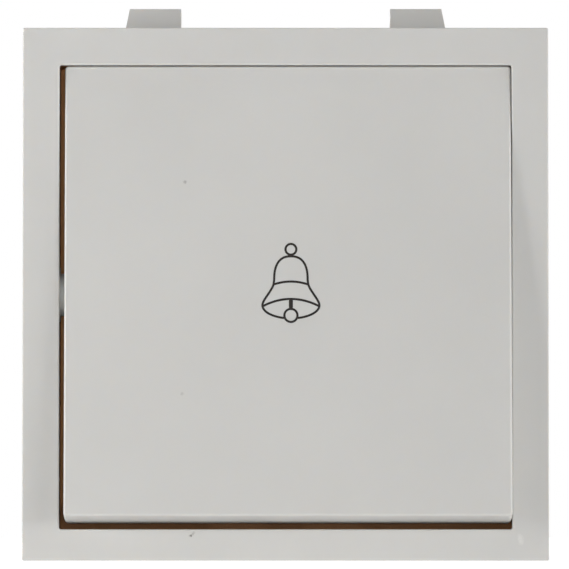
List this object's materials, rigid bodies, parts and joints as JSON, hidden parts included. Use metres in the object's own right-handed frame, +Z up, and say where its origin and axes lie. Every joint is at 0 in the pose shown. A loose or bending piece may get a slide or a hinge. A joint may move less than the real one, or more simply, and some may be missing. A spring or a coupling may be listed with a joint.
{
  "type": "doorbell switch",
  "caption": "Square modular bell push with a big rocker that tilts and springs back, hooks and snap tongues for a grid plate, and screw terminals behind.",
  "frame": {"origin": "centre of the frame's outline on the back of its flange, the plane that seats on the grid plate", "axes": "+X to the right seen from the front, +Y into the wall, +Z up; the front faces -Y"},
  "size_m": [0.0444, 0.0324, 0.0472],
  "materials": {
    "frame_plastic": "off-white moulded plastic, satin to gloss",
    "rocker_plastic": "off-white moulded plastic, satin to gloss, with a printed line bell",
    "print_ink": "charcoal screen print",
    "base_phenolic": "dark brown moulded phenolic",
    "slider_nylon": "natural moulded nylon",
    "spring_steel": "bright drawn spring wire",
    "contact_brass": "stamped brass strip",
    "contact_silver": "silver alloy contact tip",
    "terminal_brass": "machined brass block",
    "zinc_steel": "zinc plated steel"
  },
  "bodies": {
    "housing": {"front_frame": "frame_plastic", "base": "base_phenolic", "mechanism_cover": "base_phenolic", "cover_screw": "zinc_steel", "return_spring": "spring_steel", "fixed_contact_left": "contact_brass", "fixed_contact_right": "contact_brass", "fixed_tip_left": "contact_silver", "fixed_tip_right": "contact_silver", "terminal_left": "terminal_brass", "terminal_right": "terminal_brass", "terminal_screw_left": "zinc_steel", "terminal_screw_right": "zinc_steel"},
    "rocker": {"rocker": "rocker_plastic"},
    "plunger": {"plunger": "slider_nylon", "contact_spring": "spring_steel"},
    "bridge": {"bridge_contact": "contact_brass", "bridge_tip_left": "contact_silver", "bridge_tip_right": "contact_silver"}
  },
  "joints": [
    {"name": "rocker_tilt", "type": "hinge", "parent": "housing", "child": "rocker", "pos_m": [0, -0.00147, 0], "axis": [1, 0, 0], "range_deg": [0, 7], "stiffness_Nm_per_rad": 0.05, "springref_deg": -0.57},
    {"name": "plunger_slide", "type": "slide", "parent": "housing", "child": "plunger", "axis": [0, 1, 0], "range_m": [0, 0.00169], "deforming": ["return_spring"]},
    {"name": "bridge_overtravel", "type": "slide", "parent": "plunger", "child": "bridge", "axis": [0, -1, 0], "range_m": [0, 0.000402], "deforming": ["contact_spring"]}
  ],
  "couplings": [
    {"joint": "plunger_slide", "follows": "rocker_tilt", "m_per_rad": 0.013783},
    {"joint": "bridge_overtravel", "follows": "rocker_tilt", "m_per_rad": 0.003274}
  ]
}
